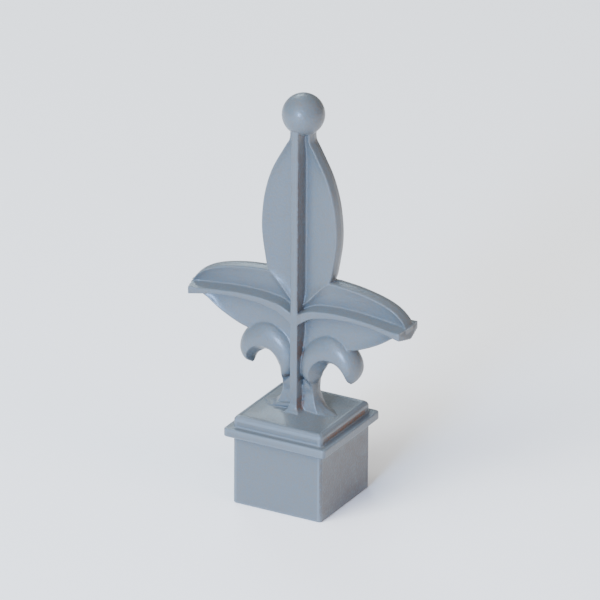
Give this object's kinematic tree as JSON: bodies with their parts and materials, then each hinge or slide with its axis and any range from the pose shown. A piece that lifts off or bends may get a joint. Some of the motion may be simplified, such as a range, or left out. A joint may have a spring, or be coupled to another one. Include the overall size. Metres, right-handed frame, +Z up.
{
  "type": "fleur-de-lis finial",
  "caption": "Cast fleur-de-lis finial with ribbed leaves, curls and a ball, on a square socket that slips over the end of a square railing post.",
  "frame": {"origin": "middle of the socket's open rim, at the lowest point of the casting", "axes": "+Z up through the ball, +X across the two side leaves, +Y from the front face to the back face"},
  "size_m": [0.0764, 0.0356, 0.1338],
  "materials": {
    "casting": "satin blue-grey as-cast skin, finely textured"
  },
  "bodies": {
    "root": {"finial": "casting"}
  },
  "joints": []
}
